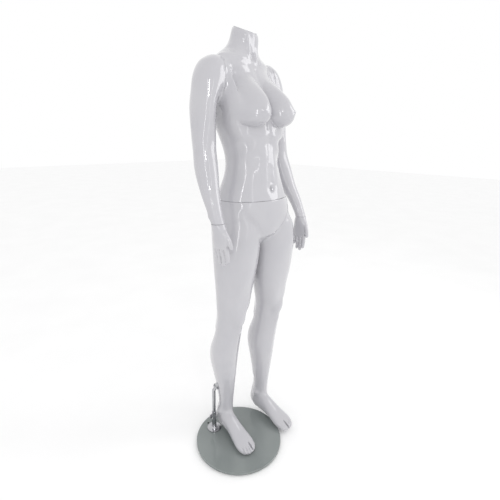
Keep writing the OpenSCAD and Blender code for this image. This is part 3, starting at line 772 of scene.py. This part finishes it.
def ramp(nodes, links, source, stops):
    node = nodes.new("ShaderNodeValToRGB")
    while len(node.color_ramp.elements) < len(stops):
        node.color_ramp.elements.new(0.5)
    for element, (at, colour) in zip(node.color_ramp.elements, stops):
        element.position = at
        element.color = (*colour, 1) if len(colour) == 3 else colour
    links.new(source, node.inputs["Fac"])
    return node.outputs["Color"]


def spread(nodes, links, source, low, high):
    node = nodes.new("ShaderNodeMapRange")
    node.inputs["From Min"].default_value = 0.3
    node.inputs["From Max"].default_value = 0.7
    node.inputs["To Min"].default_value = low
    node.inputs["To Max"].default_value = high
    links.new(source, node.inputs["Value"])
    return node.outputs["Result"]


def bumps(nodes, links, shader, layers):
    last = None
    for source, strength, distance in layers:
        node = nodes.new("ShaderNodeBump")
        node.inputs["Strength"].default_value = strength
        node.inputs["Distance"].default_value = distance
        links.new(source, node.inputs["Height"])
        if last:
            links.new(last, node.inputs["Normal"])
        last = node.outputs["Normal"]
    links.new(last, shader.inputs["Normal"])


def lacquer_material():
    mat, nodes, links, bsdf = new_material("white_lacquer")
    broad = noise(nodes, links, 9, 3)
    tint = ramp(nodes, links, broad, [(0.3, (0.47, 0.465, 0.495)), (0.7, (0.50, 0.495, 0.52))])
    links.new(tint, bsdf.inputs["Base Color"])
    links.new(spread(nodes, links, noise(nodes, links, 60, 4), 0.10, 0.19), bsdf.inputs["Roughness"])
    bsdf.inputs["Coat Weight"].default_value = 1.0
    bsdf.inputs["Coat Roughness"].default_value = 0.03
    bsdf.inputs["Coat IOR"].default_value = 1.5
    bumps(nodes, links, bsdf, [
        (noise(nodes, links, 10, 0), 0.05, 0.004),
        (noise(nodes, links, 260, 1), 0.02, 0.0005),
    ])
    return mat


def glass_material():
    mat, nodes, links, bsdf = new_material("tempered_glass")
    broad = noise(nodes, links, 6, 2)
    tint = ramp(nodes, links, broad, [(0.3, (0.28, 0.31, 0.305)), (0.7, (0.32, 0.35, 0.345))])
    links.new(tint, bsdf.inputs["Base Color"])
    links.new(spread(nodes, links, noise(nodes, links, 45, 4), 0.05, 0.12), bsdf.inputs["Roughness"])
    bsdf.inputs["IOR"].default_value = 1.52
    bsdf.inputs["Transmission Weight"].default_value = 0.25
    bumps(nodes, links, bsdf, [(noise(nodes, links, 30, 2), 0.03, 0.0005)])
    return mat


def metal_material(name, colour, low, high, stretch=None, scale=80):
    mat, nodes, links, bsdf = new_material(name)
    grain = noise(nodes, links, scale, 4, stretch)
    dark = tuple(c * 0.86 for c in colour)
    links.new(ramp(nodes, links, grain, [(0.3, dark), (0.7, colour)]), bsdf.inputs["Base Color"])
    links.new(spread(nodes, links, grain, low, high), bsdf.inputs["Roughness"])
    bsdf.inputs["Metallic"].default_value = 1.0
    bumps(nodes, links, bsdf, [(grain, 0.06, 0.0003)])
    return mat


def plain_material(name, colour, low, high, scale, strength):
    mat, nodes, links, bsdf = new_material(name)
    grain = noise(nodes, links, scale, 4)
    dark = tuple(c * 0.8 for c in colour)
    links.new(ramp(nodes, links, grain, [(0.3, dark), (0.7, colour)]), bsdf.inputs["Base Color"])
    links.new(spread(nodes, links, grain, low, high), bsdf.inputs["Roughness"])
    bumps(nodes, links, bsdf, [(grain, strength, 0.0004)])
    return mat


LOOKS = {
    "lacquer": lacquer_material(),
    "glass": glass_material(),
    "chrome": metal_material("polished_chrome", (0.50, 0.50, 0.52), 0.06, 0.16),
    "steel": metal_material("brushed_steel", (0.55, 0.56, 0.57), 0.28, 0.45, (1, 1, 12)),
    "rubber": plain_material("black_rubber", (0.035, 0.035, 0.038), 0.6, 0.8, 300, 0.3),
    "inner_plate": plain_material("moulded_plate", (0.62, 0.62, 0.63), 0.45, 0.6, 180, 0.25),
}

for row in frame["record"]["subparts"]:
    obj = frame["nodes"][row["node"]]
    obj.data.materials.clear()
    obj.data.materials.append(LOOKS[row["material_slot"]])

# ---------------------------------------------------------------- pieces
PIECES = [
    (make_torso(), "torso", ["torso_shell"]),
    (make_lower_body(), "lower_body", ["lower_body_shell"]),
    (make_left_leg(), "left_leg", ["left_leg_shell"]),
]
for side in SIDES:
    PIECES.append((make_arm(side), side + "_arm", ["arm_shell_" + side]))
    PIECES.append((make_hand(side), side + "_hand", ["hand_" + side]))
for obj, body, replaced in PIECES:
    obj.data.materials.clear()
    obj.data.materials.append(LOOKS["lacquer"])
    shade(obj)
    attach(obj, body)
    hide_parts(*replaced)

# ---------------------------------------------------------------- stage, lights, camera
FLOOR_HALF = 14


def make_floor():
    mesh = bpy.data.meshes.new("floor")
    r = FLOOR_HALF
    mesh.from_pydata([(-r, -r, 0), (r, -r, 0), (r, r, 0), (-r, r, 0)], [], [(0, 1, 2, 3)])
    mat, nodes, links, bsdf = new_material("pale_floor")
    broad = noise(nodes, links, 3, 2)
    tone = ramp(nodes, links, broad, [(0.3, (0.95, 0.95, 0.95)), (0.7, (0.97, 0.97, 0.97))])
    links.new(tone, bsdf.inputs["Base Color"])
    bsdf.inputs["Roughness"].default_value = 0.9
    bsdf.inputs["Specular IOR Level"].default_value = 0.1
    obj = link("floor", mesh)
    mesh.materials.append(mat)


def area_light(name, place, aim, width, height, power):
    data = bpy.data.lights.new(name, "AREA")
    data.shape = "RECTANGLE"
    data.size = width
    data.size_y = height
    data.energy = power
    obj = bpy.data.objects.new(name, data)
    bpy.context.scene.collection.objects.link(obj)
    obj.location = place
    obj.rotation_euler = (Vector(aim) - Vector(place)).to_track_quat("-Z", "Y").to_euler()


CAMERA_PLACE = Vector((-0.881, -0.789, 1.182))
CAMERA_YAW = -0.865
CAMERA_PITCH = math.radians(17.3)
CAMERA_ROLL = 0.022
CAMERA_LENS = 25.96


def make_camera():
    data = bpy.data.cameras.new("camera")
    data.lens = CAMERA_LENS
    data.sensor_width = 36
    cam = bpy.data.objects.new("camera", data)
    bpy.context.scene.collection.objects.link(cam)
    turn = Matrix.Rotation(CAMERA_YAW, 4, "Z") @ Matrix.Rotation(math.pi / 2 - CAMERA_PITCH, 4, "X")
    cam.matrix_world = Matrix.Translation(CAMERA_PLACE) @ turn @ Matrix.Rotation(CAMERA_ROLL, 4, "Z")
    bpy.context.scene.camera = cam


make_floor()
make_camera()
MIDDLE = (0.08, 0.03, 0.85)
CHEST = (0.12, 0.0, 1.25)
area_light("key", (1.7, -1.3, 1.9), CHEST, 0.9, 1.5, 8)
area_light("front_strip", (-1.75, -1.6, 1.2), MIDDLE, 0.07, 2.2, 5)
area_light("side_strip", (-0.1, -2.3, 1.3), MIDDLE, 0.05, 1.6, 1.2)
area_light("spot_lamp", (-1.1, -1.7, 2.1), (0.08, 0.0, 1.2), 0.2, 0.2, 3)
world = bpy.data.worlds.new("studio")
world.use_nodes = True
sky = world.node_tree.nodes["Background"]
sky.inputs["Color"].default_value = (1, 1, 1, 1)
sky.inputs["Strength"].default_value = 1.0
bpy.context.scene.world = world
bpy.context.scene.view_settings.view_transform = "Standard"
